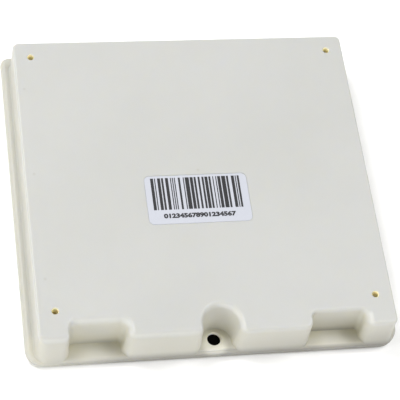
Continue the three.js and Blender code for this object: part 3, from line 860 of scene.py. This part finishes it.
finishSetup = dict(
    clear_lens=dict(light=(0.80, 0.92, 0.84), dark=(0.70, 0.86, 0.76),
                    rough=(0.08, 0.16), scale=300, bump=0.05, transmission=0.6),
    green_laminate=dict(light=(0.03, 0.17, 0.07), dark=(0.015, 0.10, 0.04),
                        rough=(0.25, 0.4), scale=420, bump=0.2),
    copper=dict(light=(0.75, 0.38, 0.20), dark=(0.52, 0.24, 0.12),
                rough=(0.22, 0.42), scale=700, bump=0.1, metallic=1.0),
    zinc_steel=dict(light=(0.62, 0.63, 0.65), dark=(0.44, 0.45, 0.47),
                    rough=(0.25, 0.45), scale=900, bump=0.1, metallic=1.0),
    bare_aluminium=dict(light=(0.58, 0.60, 0.62), dark=(0.42, 0.43, 0.45),
                        rough=(0.3, 0.5), scale=800, bump=0.15, metallic=1.0),
    black_plastic=dict(light=(0.022, 0.023, 0.025), dark=(0.009, 0.009, 0.010),
                       rough=(0.4, 0.6), scale=1500, bump=0.25),
    grey_plastic=dict(light=(0.30, 0.31, 0.33), dark=(0.22, 0.23, 0.25),
                      rough=(0.45, 0.62), scale=1400, bump=0.25),
    green_plastic=dict(light=(0.04, 0.30, 0.09), dark=(0.02, 0.19, 0.05),
                       rough=(0.25, 0.4), scale=1100, bump=0.15),
    white_nylon=dict(light=(0.80, 0.78, 0.70), dark=(0.68, 0.66, 0.58),
                     rough=(0.42, 0.58), scale=1000, bump=0.2),
    grey_foam=dict(light=(0.05, 0.052, 0.06), dark=(0.012, 0.012, 0.015),
                   rough=(0.85, 1.0), scale=2200, bump=1.0),
    black_rubber=dict(light=(0.004, 0.004, 0.004), dark=(0.002, 0.002, 0.002),
                      rough=(0.85, 1.0), scale=1300, bump=0.3, specular=0.08),
)


def plainFinish(slotName, look):
    sketch = MaterialSketch(slotName + "Finish")
    grain = sketch.noise(look["scale"], detail=5, roughness=0.6)
    clouds = sketch.noise(look["scale"] / 20, detail=3)
    color = sketch.ramp(grain, (0.32, look["dark"]), (0.68, look["light"]))
    shade = sketch.ramp(clouds, (0.3, (0.88, 0.88, 0.88)), (0.7, (1.0, 1.0, 1.0)))
    color = sketch.mix(0.8, color, shade, blend="MULTIPLY")
    rough = sketch.spread(clouds, *look["rough"])
    return sketch.use(color=color, roughness=rough, normal=sketch.bump(grain, look["bump"], 0.00005),
                      metallic=look.get("metallic", 0.0), transmission=look.get("transmission", 0.0),
                      specular=look.get("specular", 0.5))


finishes = {name: plainFinish(name, look) for name, look in finishSetup.items()}
for row in frame["record"]["subparts"]:
    node = frame["nodes"][row["node"]]
    if row["material_slot"] in finishes:
        node.data.materials.clear()
        node.data.materials.append(finishes[row["material_slot"]])
print("carried-over pieces done")


# floor and light

# places and sizes of the studio are in metres
studioSetup = dict(
    floorHalf=6.0, floorColor=(0.97, 0.97, 0.965), floorLow=0.97,
    world=(0.97, 0.985, 1.0), worldStrength=0.08,
    lights=dict(
        keyLight=dict(place=(0.9, 0.0, 1.3), size=0.9, energy=16.2, color=(1.0, 1.0, 1.0)),
        backLight=dict(place=(-0.65, 0.65, 1.3), size=0.9, energy=19.0, color=(1.0, 1.0, 1.0)),
        frontLight=dict(place=(-0.25, -1.42, 0.7), size=0.9, energy=12.2, color=(1.0, 0.995, 0.98)),
        sideLight=dict(place=(-1.4, -0.3, 0.7), size=0.9, energy=10.0, color=(1.0, 0.995, 0.98)),
    ),
)


def makeFloor():
    bm = bmesh.new()
    bmesh.ops.create_grid(bm, x_segments=1, y_segments=1, size=studioSetup["floorHalf"])
    floor = newPiece("studioFloor", bm)
    sketch = MaterialSketch("palePaper")
    fibres = sketch.noise(40, detail=4)
    low = [value * studioSetup["floorLow"] for value in studioSetup["floorColor"]]
    color = sketch.ramp(fibres, (0.3, low), (0.7, studioSetup["floorColor"]))
    floor.data.materials.append(sketch.use(color=color, roughness=0.9))


def makeLight(name, setup, target=(0, 0, 0.01)):
    data = bpy.data.lights.new(name, "AREA")
    data.shape = "DISK"
    data.size = setup["size"]
    data.energy = setup["energy"]
    data.color = setup["color"]
    light = bpy.data.objects.new(name, data)
    light.location = setup["place"]
    away = Vector(setup["place"]) - Vector(target)
    light.rotation_mode = "QUATERNION"
    light.rotation_quaternion = away.to_track_quat("Z", "Y")
    bpy.context.scene.collection.objects.link(light)


def makeWorld():
    world = bpy.data.worlds.new("studioWorld")
    world.use_nodes = True
    background = world.node_tree.nodes["Background"]
    background.inputs["Color"].default_value = (*studioSetup["world"], 1)
    background.inputs["Strength"].default_value = studioSetup["worldStrength"]
    bpy.context.scene.world = world
    bpy.context.scene.view_settings.view_transform = "Standard"


makeFloor()
for lightName, lightSetup in studioSetup["lights"].items():
    makeLight(lightName, lightSetup)
makeWorld()
print("studio done")
